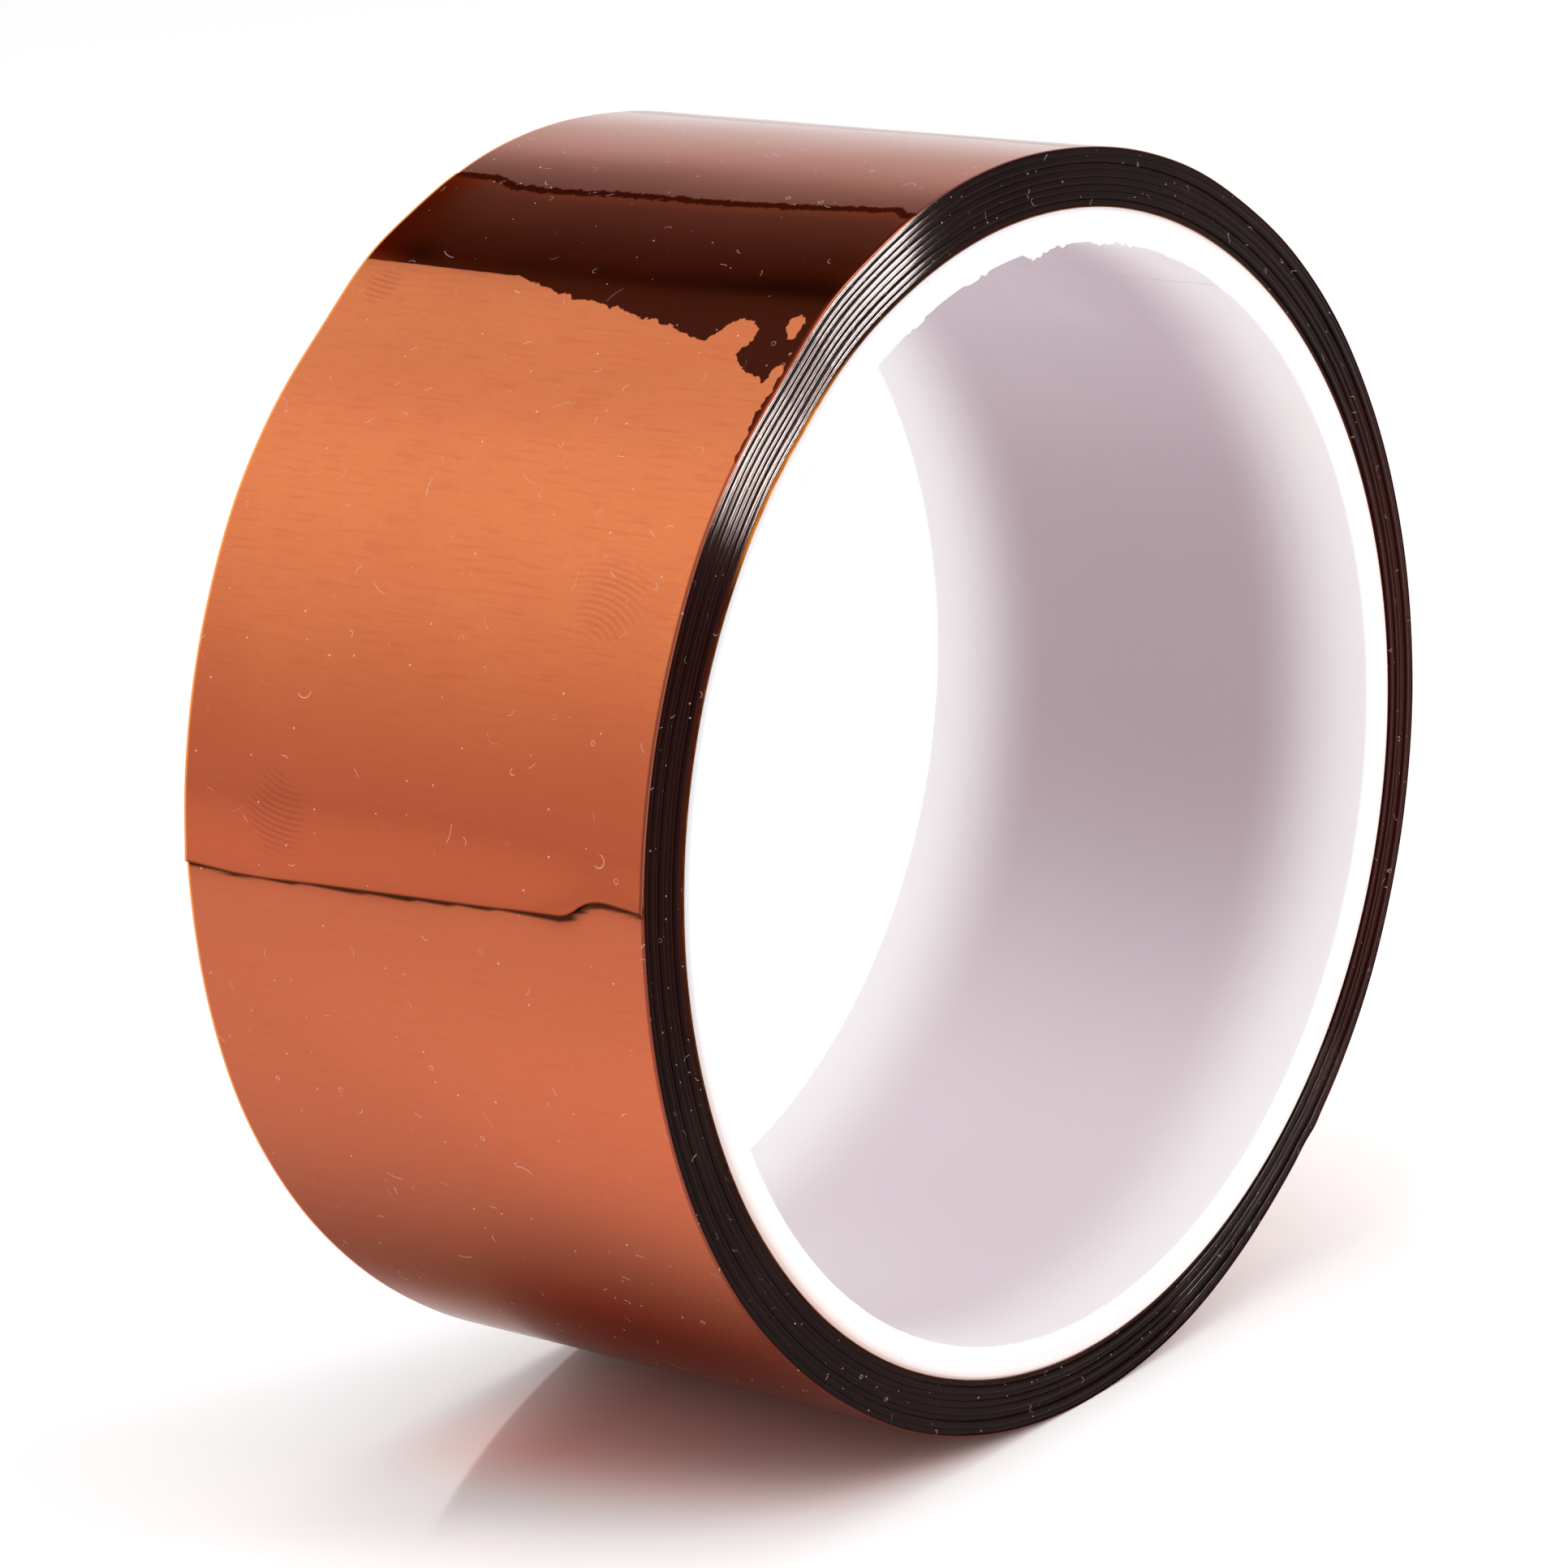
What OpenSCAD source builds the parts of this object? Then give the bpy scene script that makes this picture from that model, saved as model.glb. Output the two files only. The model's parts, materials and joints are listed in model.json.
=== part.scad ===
// A roll of amber film tape on a plastic core, standing on its rim.
// The roll's axis lies along Y, the origin is in the middle of the bore, and +Z is up.
// Angles around the roll run from +X (0) over the top (90) to -X (180).

/* [Core] */
// Bore of the core, a standard 3 inch core
core_bore_d = 76.2; // [76.2:0.1:77.2]
// Wall thickness of the core
core_wall = 2.3; // [1.8:0.1:3]
// How far the core stands out of the tape at each end
core_proud = 0.3; // [0:0.1:1]
// Radial depth of the wide chamfer at each mouth of the bore
mouth_chamfer = 0.75; // [0.3:0.05:1]
// Length of that chamfer along the bore
mouth_chamfer_len = 0.5; // [0.3:0.05:1]
// Small chamfer on the outer edge of the core
rim_chamfer = 0.25; // [0.1:0.05:0.4]

/* [Tape] */
// Width of the tape
tape_w = 40; // [10:1:50]
// Thickness of one turn, film and adhesive together
turn_t = 0.062; // [0.05:0.001:0.08]
// Thickness of the film alone
film_t = 0.038; // [0.025:0.001:0.045]
// Number of bands that the winding shows on its end face
bands = 8; // [4:1:12]
// Turns in one band
turns_per_band = 8; // [4:1:12]
// Sideways wander of the bands, to each side
band_wander = 0.06; // [0:0.01:0.15]
// Bevel of a band's corners, where its outermost turns draw in
band_bevel = 0.09; // [0.02:0.01:0.15]

/* [Free end] */
// Angle at which the loose end leaves the roll
crease_angle = 107; // [95:1:130]
// Angle of the cut at the back edge of the tape
cut_back_angle = 177.2; // [165:0.1:179]
// Angle of the cut beside the torn notch
cut_front_angle = 175.5; // [165:0.1:179]
// Angle of the notch floor, at the front edge of the tape
notch_angle = 173.8; // [160:0.1:174]
// Width of the torn notch, from the front edge
notch_w = 5.8; // [2:0.1:10]
// Air gap under the loose end
end_gap = 0.03; // [0.02:0.01:0.2]
// Arc between the crease and the first stiff part of the loose end
crease_arc = 0.5; // [0.3:0.1:2]

/* [Hidden] */
BANDS = [for (i = [1:bands]) str("turns_", i)];

core_r = core_bore_d / 2 + core_wall;
core_len = tape_w + 2 * core_proud;
first_r = core_r + turn_t;
band_t = turns_per_band * turn_t;
pack_r = first_r + bands * band_t;
outer_r = pack_r + turn_t;
end_r = outer_r + end_gap;
adhesive_t = turn_t - film_t;

film_color = [0.72, 0.36, 0.20];
edge_color = [0.16, 0.08, 0.06];
core_color = [0.93, 0.90, 0.92];
adhesive_color = [0.85, 0.55, 0.30];

// Turns a shape made around Z so that its axis lies along Y and its angles stay as they were
module along_y() rotate([90, 0, 0]) children();

// One whole turn of tape between two radii
module single_turn(r_in, r_out)
    along_y()
        rotate_extrude($fn = 180)
            translate([r_in, -tape_w / 2])
                square([r_out - r_in, tape_w]);

// Sideways place of a band: a slow wander to and fro, as the turns were laid
function band_shift(i) = band_wander * sin(i * 137.5);

// The plastic tube that the tape is wound on
module core() {
    half = core_len / 2;
    bore_r = core_bore_d / 2;
    color(core_color)
        along_y()
            rotate_extrude($fn = 180)
                polygon([
                    [bore_r, -half + mouth_chamfer_len], [bore_r + mouth_chamfer, -half],
                    [core_r - rim_chamfer, -half], [core_r, -half + rim_chamfer],
                    [core_r, half - rim_chamfer], [core_r - rim_chamfer, half],
                    [bore_r + mouth_chamfer, half], [bore_r, half - mouth_chamfer_len]
                ]);
}

// The first turn, stuck to the core
module first_turn()
    color(adhesive_color) single_turn(core_r, first_r);

// One band of turns, counted from the core, with its corners drawn in
module band_of_turns(i) {
    r_in = first_r + (i - 1) * band_t;
    r_out = r_in + band_t;
    half = tape_w / 2;
    color(edge_color)
        along_y()
            translate([0, 0, -band_shift(i)])
                rotate_extrude($fn = 180)
                    polygon([
                        [r_in, -half + band_bevel], [r_in + band_bevel, -half],
                        [r_out - band_bevel, -half], [r_out, -half + band_bevel],
                        [r_out, half - band_bevel], [r_out - band_bevel, half],
                        [r_in + band_bevel, half], [r_in, half - band_bevel]
                    ]);
}

// The last whole turn, which carries the outer surface
module outer_turn()
    color(film_color) single_turn(pack_r, outer_r);

// Height of a point on the loose end at an angle around the roll
function end_z(angle) = end_r * sin(angle);

// What the cut at the loose end removes: everything under a slanted line with a torn notch
module end_cut() {
    half = tape_w / 2;
    notch_y = -half + notch_w;
    slope = (end_z(cut_back_angle) - end_z(cut_front_angle)) / (half - notch_y);
    over = 1;
    below = -8;
    rotate([90, 0, 90])
        linear_extrude(height = 8, center = true)
            polygon([
                [-half - over, end_z(notch_angle + 0.3)],
                [notch_y - 3.2, end_z(notch_angle - 0.1)],
                [notch_y - 2.0, end_z(notch_angle)],
                [notch_y - 1.1, end_z(notch_angle + 0.4)],
                [notch_y - 0.4, end_z(notch_angle + 1.1)],
                [notch_y, end_z(cut_front_angle)],
                [half + over, end_z(cut_back_angle) + slope * over],
                [half + over, below], [-half - over, below]
            ]);
}

// A layer of the loose end between two heights above the roll
module end_layer(low, high) {
    half = tape_w / 2;
    start_angle = crease_angle + crease_arc;
    difference() {
        along_y()
            rotate_extrude(angle = 180 - start_angle, start = start_angle, $fn = 360)
                translate([end_r + low, -half])
                    square([high - low, tape_w]);
        translate([-end_r, 0, 0]) end_cut();
    }
}

// The film of the loose end
module tape_end_film()
    color(film_color) end_layer(adhesive_t, turn_t);

// The sticky layer under the film of the loose end
module tape_end_adhesive()
    color(adhesive_color) end_layer(0, adhesive_t);

core();
first_turn();
for (i = [1:bands])
    band_of_turns(i);
outer_turn();
tape_end_film();
tape_end_adhesive();
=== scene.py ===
"""Looks of the amber film tape roll: fine meshes, procedural materials, studio and camera.

Lengths are in millimetres until a mesh or an object is made, and the studio is in metres. An angle
around the roll runs from +X (0) over the top (90) to -X (180), and the roll's axis lies along Y
with the front face at -Y.
"""

import json
import math

import bpy
import numpy as np
from mathutils import Matrix, Vector


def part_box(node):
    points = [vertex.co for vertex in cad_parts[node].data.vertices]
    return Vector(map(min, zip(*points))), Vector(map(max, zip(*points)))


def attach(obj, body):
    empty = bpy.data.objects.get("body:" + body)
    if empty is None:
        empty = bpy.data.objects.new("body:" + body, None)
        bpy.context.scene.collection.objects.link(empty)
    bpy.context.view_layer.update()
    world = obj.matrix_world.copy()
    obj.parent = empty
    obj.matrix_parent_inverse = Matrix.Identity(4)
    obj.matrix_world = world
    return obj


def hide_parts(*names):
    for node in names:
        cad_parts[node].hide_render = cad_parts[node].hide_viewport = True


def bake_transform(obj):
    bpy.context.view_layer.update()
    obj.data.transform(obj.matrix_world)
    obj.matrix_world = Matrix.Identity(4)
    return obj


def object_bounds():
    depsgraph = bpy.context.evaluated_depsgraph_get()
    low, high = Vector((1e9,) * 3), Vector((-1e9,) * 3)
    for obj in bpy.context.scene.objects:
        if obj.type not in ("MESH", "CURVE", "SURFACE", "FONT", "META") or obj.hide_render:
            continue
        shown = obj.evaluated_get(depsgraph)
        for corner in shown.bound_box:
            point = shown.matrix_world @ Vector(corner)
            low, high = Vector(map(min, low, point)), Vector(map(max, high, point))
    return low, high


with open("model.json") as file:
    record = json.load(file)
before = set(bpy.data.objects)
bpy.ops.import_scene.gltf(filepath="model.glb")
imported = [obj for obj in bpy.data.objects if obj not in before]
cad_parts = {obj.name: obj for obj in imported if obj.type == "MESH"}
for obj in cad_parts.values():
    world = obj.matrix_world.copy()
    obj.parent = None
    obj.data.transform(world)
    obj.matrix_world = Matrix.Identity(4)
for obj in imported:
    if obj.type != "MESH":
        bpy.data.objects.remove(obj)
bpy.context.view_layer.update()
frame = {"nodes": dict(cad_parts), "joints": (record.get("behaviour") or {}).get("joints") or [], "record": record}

MM = 0.001
RNG_SEED = 7
RING_STEPS = 900
FINE_RING_STEPS = 1440

# ---------------------------------------------------------------- sizes, all from the frame
MOUNTS = {m["name"]: m for m in frame["record"]["mounts"]}
HINGE = frame["joints"][0]
BANDS = sorted(n for n in frame["nodes"] if n.startswith("turns_"))


def outer_radius(node):
    """Outer radius of a round CAD node, in mm."""
    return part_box(node)[1].x / MM


def half_width(node):
    """Half of a CAD node's length along the axis, in mm."""
    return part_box(node)[1].y / MM


BORE_R = MOUNTS["core_bore"]["dims"]["r_mm"]
BORE_HALF = MOUNTS["core_bore"]["dims"]["length_mm"] / 2
CORE_R = outer_radius("core")
CORE_HALF = half_width("core")
FIRST_R = outer_radius("first_turn")
TURN_T = FIRST_R - CORE_R
OUTER_R = outer_radius("outer_turn")
PACK_R = OUTER_R - TURN_T
TAPE_HALF = half_width("outer_turn")
END_R = math.hypot(HINGE["pos_m"][0], HINGE["pos_m"][2]) / MM
FILM_SHARE = 0.6
FILM_T = FILM_SHARE * TURN_T
MM_PER_DEG = math.radians(1) * END_R


# ---------------------------------------------------------------- camera
def add_camera():
    """Looks at the roll from its front left, a little from above. Its distances are in mm."""
    azimuth, elevation, tilt = (math.radians(a) for a in (-50.33, 16.62, -3.861))
    distance, side, rise = 413.55, 3.5275, 1.5796
    back = Vector((math.sin(azimuth) * math.cos(elevation),
                   -math.cos(azimuth) * math.cos(elevation), math.sin(elevation)))
    level = Vector((math.cos(azimuth), math.sin(azimuth), 0))
    upright = back.cross(level)
    right = math.cos(tilt) * level + math.sin(tilt) * upright
    up = -math.sin(tilt) * level + math.cos(tilt) * upright
    data = bpy.data.cameras.new("camera")
    data.sensor_width = 36
    data.lens = 134.48
    data.clip_start = 0.01
    camera = bpy.data.objects.new("camera", data)
    turn = Matrix((right, up, back)).transposed().to_4x4()
    camera.matrix_world = Matrix.Translation((distance * back - side * right - rise * up) * MM) @ turn
    bpy.context.scene.collection.objects.link(camera)
    bpy.context.scene.camera = camera


add_camera()


# ---------------------------------------------------------------- mesh helpers
def smoothstep(x):
    """Smooth change from 0 to 1."""
    x = np.clip(x, 0, 1)
    return x * x * (3 - 2 * x)


def bump_at(x, centre, half):
    """A soft bump of height 1 around an angle, in degrees."""
    gap = (x - centre + 180) % 360 - 180
    return np.exp(-(gap / half) ** 2)


# Dents (above 0) and swellings (below 0) of the outside: angle, depth in mm, half width in degrees
DENTS = [(-58, 0.33, 11), (-51.5, 0.07, 1.6), (-49, -0.10, 1.1), (-8, 0.03, 20), (15, 0.10, 14),
         (56, 0.10, 7), (101, -0.24, 11), (119, -0.16, 5), (128, 0.20, 5.5), (143, -0.12, 8),
         (183, 0.06, 9), (206, -0.16, 14), (231, 0.05, 8)]


def outer_swell(theta):
    """How far the outside of the pack stands off a true circle, in mm."""
    out = 0.36 * np.cos(np.radians(theta - 145)) - 0.10
    for angle, depth, half in DENTS:
        out = out - depth * bump_at(theta, angle, half)
    return out


def core_swell(theta):
    """How far the outside of the core stands off a true circle, in mm."""
    out = 0.17 * np.cos(np.radians(theta - 157)) + 0.12 * np.cos(np.radians(2 * theta - 320)) + 0.08
    out = out + 0.10 * bump_at(theta, 118, 6) - 0.14 * bump_at(theta, 129, 5)
    return out + 0.09 * bump_at(theta, 78, 35) - 0.08 * bump_at(theta, -66, 20)


def off_round(theta, r):
    """Radius of a point of the pack, once the pack is pressed out of round."""
    share = (r - CORE_R) / (OUTER_R - CORE_R)
    return r + core_swell(theta) * (1 - share) + outer_swell(theta) * share


def to_xyz(theta, r, y):
    """Points in metres from angles in degrees, radii and places along the axis."""
    a = np.radians(theta)
    return np.stack(np.broadcast_arrays(r * np.cos(a), y, r * np.sin(a)), -1) * MM


def grid_faces(nu, nv, wrap_u):
    """Quads of a tube of nu rings with nv points each, which may close on itself as a torus."""
    u = np.arange(nu if wrap_u else nu - 1)[:, None]
    v = np.arange(nv)[None, :]
    u2, v2 = (u + 1) % nu, (v + 1) % nv
    quads = np.stack(np.broadcast_arrays(u * nv + v, u * nv + v2, u2 * nv + v2, u2 * nv + v), -1)
    return quads.reshape(-1, 4)


def cap_faces(nv, first, turned):
    """Quads that close an open tube at the ring of nv points that starts at point "first".

    The ring runs out along the tube's top and back along its underside."""
    quads = [(i, i + 1, nv - 2 - i, nv - 1 - i) for i in range(nv // 2 - 1)]
    return np.array([q[::-1] for q in quads] if turned else quads) + first


def make_mesh(name, points, faces, sharp=35):
    """A mesh object from points in metres and quads, smooth but for edges sharper than an angle."""
    mesh = bpy.data.meshes.new(name)
    points = points.reshape(-1, 3)
    mesh.vertices.add(len(points))
    mesh.vertices.foreach_set("co", points.ravel())
    mesh.loops.add(faces.size)
    mesh.loops.foreach_set("vertex_index", faces.ravel())
    mesh.polygons.add(len(faces))
    mesh.polygons.foreach_set("loop_start", np.arange(0, faces.size, 4))
    mesh.update(calc_edges=True)
    mesh.validate()
    mesh.set_sharp_from_angle(angle=math.radians(sharp))
    piece = bpy.data.objects.new(name, mesh)
    bpy.context.scene.collection.objects.link(piece)
    return piece


def outward(piece):
    """Makes sure that a closed mesh's faces point out of it."""
    mesh = piece.data
    co = np.zeros(len(mesh.vertices) * 3)
    mesh.vertices.foreach_get("co", co)
    co = co.reshape(-1, 3)
    index = np.zeros(len(mesh.loops), int)
    mesh.loops.foreach_get("vertex_index", index)
    quad = co[index.reshape(-1, 4)]
    volume = sum(np.einsum("ij,ij->i", quad[:, 0], np.cross(quad[:, a], quad[:, a + 1])).sum()
                 for a in (1, 2))
    if volume < 0:
        mesh.flip_normals()
    return piece


def store(piece, name, values):
    """Keeps one number or one vector for each vertex, which the material reads by its name."""
    values = np.asarray(values, np.float32)
    kind, key = ("FLOAT", "value") if values.ndim == 1 else ("FLOAT_VECTOR", "vector")
    piece.data.attributes.new(name, kind, "POINT").data.foreach_set(key, values.ravel())


def finish_piece(piece, material, body, slot, *nodes):
    """Gives a piece its material and CAD nodes, and its body unless it blends between two. The slot is not used.
    """
    piece.data.materials.append(material)
    if nodes:
        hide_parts(*nodes)
    if body:
        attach(piece, body)
    return piece


def ring_angles(count):
    """Angles of a ring's cross-sections, with its seam at the bottom."""
    return -90 + np.arange(count) * 360 / count


# ---------------------------------------------------------------- node helpers
class Nodes:
    """A material's node tree, with short calls for the nodes that it uses most."""

    def __init__(self, name):
        self.material = bpy.data.materials.new(name)
        self.material.use_nodes = True
        self.tree = self.material.node_tree
        self.shader = self.tree.nodes["Principled BSDF"]

    def put(self, socket, value):
        """Links a socket to another node's output, or sets it to a constant."""
        if isinstance(value, bpy.types.NodeSocket):
            self.tree.links.new(value, socket)
        elif isinstance(value, tuple) and len(value) == 3 and socket.type == "RGBA":
            socket.default_value = (*value, 1)
        else:
            socket.default_value = value

    def node(self, kind, inputs=None, **settings):
        """A new shader node, with its inputs filled in and its settings made."""
        n = self.tree.nodes.new("ShaderNode" + kind)
        for key, value in settings.items():
            setattr(n, key, value)
        for key, value in (inputs or {}).items():
            self.put(n.inputs[key], value)
        return n

    def math(self, operation, *values, clamp=False):
        n = self.node("Math", dict(enumerate(values)), operation=operation, use_clamp=clamp)
        return n.outputs[0]

    def mul(self, a, b):
        return self.math("MULTIPLY", a, b)

    def add(self, a, b):
        return self.math("ADD", a, b)

    def step(self, value, low, high, to_low=0.0, to_high=1.0):
        """Smooth change from to_low to to_high as value goes from low to high."""
        n = self.node("MapRange", {0: value, 1: low, 2: high, 3: to_low, 4: to_high},
                      interpolation_type="SMOOTHSTEP")
        return n.outputs[0]

    def vector(self, operation, *values):
        n = self.node("VectorMath", dict(enumerate(values)), operation=operation)
        return n.outputs[1] if operation in ("LENGTH", "DOT_PRODUCT") else n.outputs[0]

    def scaled(self, vector, x, y, z=1.0):
        return self.vector("MULTIPLY", vector, (x, y, z))

    def noise(self, vector, scale, detail=2.0, roughness=0.5, distortion=0.0):
        n = self.node("TexNoise", {"Vector": vector, "Scale": scale, "Detail": detail,
                                   "Roughness": roughness, "Distortion": distortion})
        return n.outputs[0]

    def mix(self, factor, a, b):
        """Colour a, turning into colour b as the factor goes from 0 to 1."""
        n = self.node("Mix", data_type="RGBA")
        self.put(n.inputs[0], factor)
        self.put(n.inputs[6], a)
        self.put(n.inputs[7], b)
        return n.outputs[2]

    def attribute(self, name, output="Fac"):
        """What a mesh keeps for each of its vertices under a name, or 0 where it keeps nothing."""
        return self.node("Attribute", attribute_name=name).outputs[output]

    def bump(self, height, strength, distance, normal=None):
        inputs = {"Height": height, "Strength": strength, "Distance": distance}
        if normal is not None:
            inputs["Normal"] = normal
        return self.node("Bump", inputs).outputs[0]

    def set(self, **inputs):
        """Fills in the main shader's inputs, whose names have _ in place of spaces."""
        for key, value in inputs.items():
            self.put(self.shader.inputs[key.replace("_", " ")], value)

    def round_place(self):
        """A point in mm, the same point in the plane of the end face, and its radius."""
        place = self.node("VectorMath", {0: self.node("TexCoord").outputs["Object"], 3: 1 / MM},
                          operation="SCALE").outputs[0]
        parts = self.node("SeparateXYZ", {0: place})
        flat = self.node("CombineXYZ", {0: parts.outputs[0], 1: parts.outputs[2]}).outputs[0]
        return place, flat, self.vector("LENGTH", flat)

    def facing_way(self, flat, angle, half):
        """1 on the side of the roll that an angle points to, and 0 beyond half a width from it."""
        way = (math.cos(math.radians(angle)), math.sin(math.radians(angle)), 0.0)
        along = self.vector("DOT_PRODUCT", self.vector("NORMALIZE", flat), way)
        return self.step(along, math.cos(math.radians(1.3 * half)), math.cos(math.radians(0.3 * half)))

    def lint(self, place, cell, length, width, amount):
        """Curled fibres: one short arc in some of the cells, each turned and bent its own way."""
        cells = self.node("TexVoronoi", {"Vector": place, "Scale": 1 / cell, "Randomness": 0.9},
                          voronoi_dimensions="2D")
        shade = self.node("SeparateColor", {0: cells.outputs["Color"]})
        from_point = self.vector("SUBTRACT", place, cells.outputs["Position"])
        local = self.scaled(from_point, 1 / cell, 1 / cell, 0)
        turn = self.mul(shade.outputs[0], math.tau)
        bend = self.step(shade.outputs[1], 0, 1, 0.05, 0.30)
        centre = self.node("CombineXYZ", {0: self.mul(self.math("COSINE", turn), bend),
                                          1: self.mul(self.math("SINE", turn), bend)})
        to_arc = self.math("SUBTRACT", self.vector("LENGTH", self.vector(
            "SUBTRACT", local, centre.outputs[0])), bend)
        thin = self.step(self.math("ABSOLUTE", to_arc), width / cell, 0.4 * width / cell)
        reach = self.step(self.vector("LENGTH", local), length / cell, 0.8 * length / cell)
        there = self.step(shade.outputs[2], amount, 0.1 * amount, 0, 1)
        return self.mul(self.mul(thin, reach), there)

    def finger_print(self, place, centre, size, seed):
        """Faint looping ridges of a finger mark around a place: an angle and a place along Y."""
        angle, y = centre
        local = self.vector("SUBTRACT", place, (angle * MM_PER_DEG, y, 0.0))
        bent = self.vector("ADD", self.scaled(local, 1.0, 0.7), (seed, 0.3 * seed, 0.0))
        loops = self.node("TexWave", {"Vector": bent, "Scale": 0.75, "Distortion": 5.0,
                                      "Detail": 1.0, "Detail Scale": 0.25}, wave_type="RINGS",
                          rings_direction="SPHERICAL").outputs[1]
        soft = self.add(self.vector("LENGTH", local), self.mul(self.noise(bent, 0.6, 2), 0.8 * size))
        return self.mul(self.step(loops, 0.35, 0.75), self.step(soft, 1.4 * size, 0.7 * size))

    def specks(self, place, cell, size, amount):
        """Small round specks, one in some of the cells."""
        cells = self.node("TexVoronoi", {"Vector": place, "Scale": 1 / cell, "Randomness": 1.0},
                          voronoi_dimensions="2D")
        shade = self.node("SeparateColor", {0: cells.outputs["Color"]})
        reach = self.mul(shade.outputs[0], size / cell)
        near = self.math("LESS_THAN", cells.outputs["Distance"], reach)
        return self.mul(near, self.math("LESS_THAN", shade.outputs[1], amount))


# ---------------------------------------------------------------- colours
# The film: on air, with its marks, bonded, with painted shade low on its left and a painted dark reflection below
# the crease, and along its lines and edges
AMBER = (0.62, 0.165, 0.048)
AMBER_DEEP = (0.49, 0.090, 0.027)
AMBER_WOUND = (0.49, 0.108, 0.038)
STREAK = (0.44, 0.070, 0.020)
MOTTLE = (0.44, 0.075, 0.022)
FINGER_MARK = (0.30, 0.045, 0.016)
BONDED = (0.29, 0.072, 0.040)
# Painted shade low on the film's left, where it mirrors the floor in the roll's shadow
LOW_PAINTED_SHADE = (0.125, 0.036, 0.030)
# Painted reflection: a dark band below the crease, where the film mirrors the dark studio
DARK_BAND_AT_CREASE = (0.27, 0.078, 0.056)
DARK_BAND_MIDDLE = (0.135, 0.023, 0.013)
DARK_BAND_FAR = (0.044, 0.008, 0.004)
DARK_BAND_AT_BACK = (0.19, 0.018, 0.005)
CRACK = (0.056, 0.014, 0.004)
CUT_SHADE = (0.040, 0.008, 0.002)
BACK_EDGE_GLOW = (0.95, 0.30, 0.03)
FRONT_EDGE = (0.16, 0.020, 0.008)
DUST = (0.90, 0.74, 0.66)
# The wound edges
EDGE_DARK = (0.0075, 0.0030, 0.0026)
EDGE_PATCH = (0.013, 0.0052, 0.0042)
EDGE_LEFT = (0.012, 0.0008, 0.0004)
EDGE_RIGHT = (0.034, 0.0055, 0.0040)
EDGE_NEAR_CORE = (0.11, 0.014, 0.002)
EDGE_TURN_LINE = (0.040, 0.012, 0.008)
EDGE_ORANGE = (0.55, 0.19, 0.035)
DUST_ON_EDGES = (0.62, 0.50, 0.46)
# The adhesive: the innermost turn, dull or lit through, and the underside of the loose end
BOND_DULL = (0.075, 0.016, 0.005)
BOND_DULL_BLOTCH = (0.14, 0.040, 0.015)
BOND_BRIGHT = (0.75, 0.22, 0.03)
BOND_BRIGHT_BLOTCH = (0.95, 0.45, 0.09)
ADHESIVE = (0.66, 0.21, 0.062)
ADHESIVE_LEGS = (0.74, 0.27, 0.095)
ADHESIVE_HAZE = (0.84, 0.44, 0.23)
# The core: wall of the bore from its ends inward, and end face
WALL_LIT_AT_END = (0.90, 0.87, 0.87)
WALL = (0.55, 0.455, 0.51)
WALL_CLOUD = (0.61, 0.51, 0.56)
WALL_SHADED_RIGHT = (0.46, 0.36, 0.40)
WALL_LIT_LOW = (0.72, 0.64, 0.675)
RIM = (0.86, 0.80, 0.80)
RIM_BY_TAPE = (0.76, 0.58, 0.52)
RIM_UPPER_LEFT = (0.84, 0.83, 0.86)
RIM_CHAMFER_HIGHLIGHT = (0.95, 0.94, 0.94)
CORE_SPECK = (0.45, 0.40, 0.40)
# The floor
FLOOR_FAR = (1.02, 1.01, 1.01)
FLOOR_LIT_NEAR = (1.06, 1.05, 1.05)
FLOOR_LIT_OPEN = (1.16, 1.14, 1.14)
FLOOR_GLOW = (1.40, 1.10, 1.04)
FLOOR_AMBER = (1.25, 0.67, 0.59)
FLOOR_GLOSS = (1.0, 0.88, 0.865)


# ---------------------------------------------------------------- materials
def finger_marks(n, place):
    """Three finger marks on the film: two by the middle and a faint one near the crease."""
    by_cut = n.finger_print(place, (171.0, 11.5), 3.6, 5.0)
    by_middle = n.mul(n.finger_print(place, (149.0, -14.0), 3.8, -4.0), 0.5)
    by_crease = n.mul(n.finger_print(place, (122.5, 17.0), 2.0, 9.0), 0.6)
    return n.math("MAXIMUM", by_cut, n.math("MAXIMUM", by_middle, by_crease))


def dark_band_mask(n, place, along):
    """1 on the painted dark reflection below the crease, with a rough front that is roughest near the face."""
    rough_line = n.mul(n.math("SUBTRACT", n.noise(place, 0.9, 3, 0.6), 0.5),
                       n.step(along, 8.0, 1.0, 0.1, 1.4))
    return n.step(n.add(n.attribute("wet"), rough_line), 0.05, -0.05)


def crease_crack(n, place):
    """1 on the thin, slightly jagged line of the crease."""
    jag = n.noise(n.scaled(place, 0.0, 0.75), 1.0, 3, 0.8)
    jag = n.mul(n.math("SUBTRACT", jag, 0.5), 1.2)
    crack = n.math("ABSOLUTE", n.add(n.attribute("crease_line"), jag))
    return n.step(n.add(crack, n.mul(n.noise(place, 1.6, 3), 0.28)), 0.66, 0.46)


def open_film_colour(n, place, streaks, marks, wound):
    """Colour of the film where it lies on air: copper-like, with painted shade that deepens it towards the cut."""
    clouds = n.noise(place, 0.07, 3, 0.6, 0.4)
    mottle = n.noise(n.scaled(place, 2.6, 1.6), 1.0, 4, 0.75)
    # Painted shade: deeper towards the cut, where the film mirrors less light
    colour = n.mix(n.step(n.attribute("from_crease"), 33.0, 48.0), AMBER, AMBER_DEEP)
    colour = n.mix(n.step(clouds, 0.35, 0.75, 0, 0.22), colour, AMBER_DEEP)
    colour = n.mix(wound, colour, AMBER_WOUND)
    colour = n.mix(n.step(streaks, 0.48, 0.72, 0, 0.27), colour, STREAK)
    colour = n.mix(n.step(mottle, 0.40, 0.75, 0, 0.16), colour, MOTTLE)
    return n.mix(n.mul(marks, 0.50), colour, FINGER_MARK)


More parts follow.
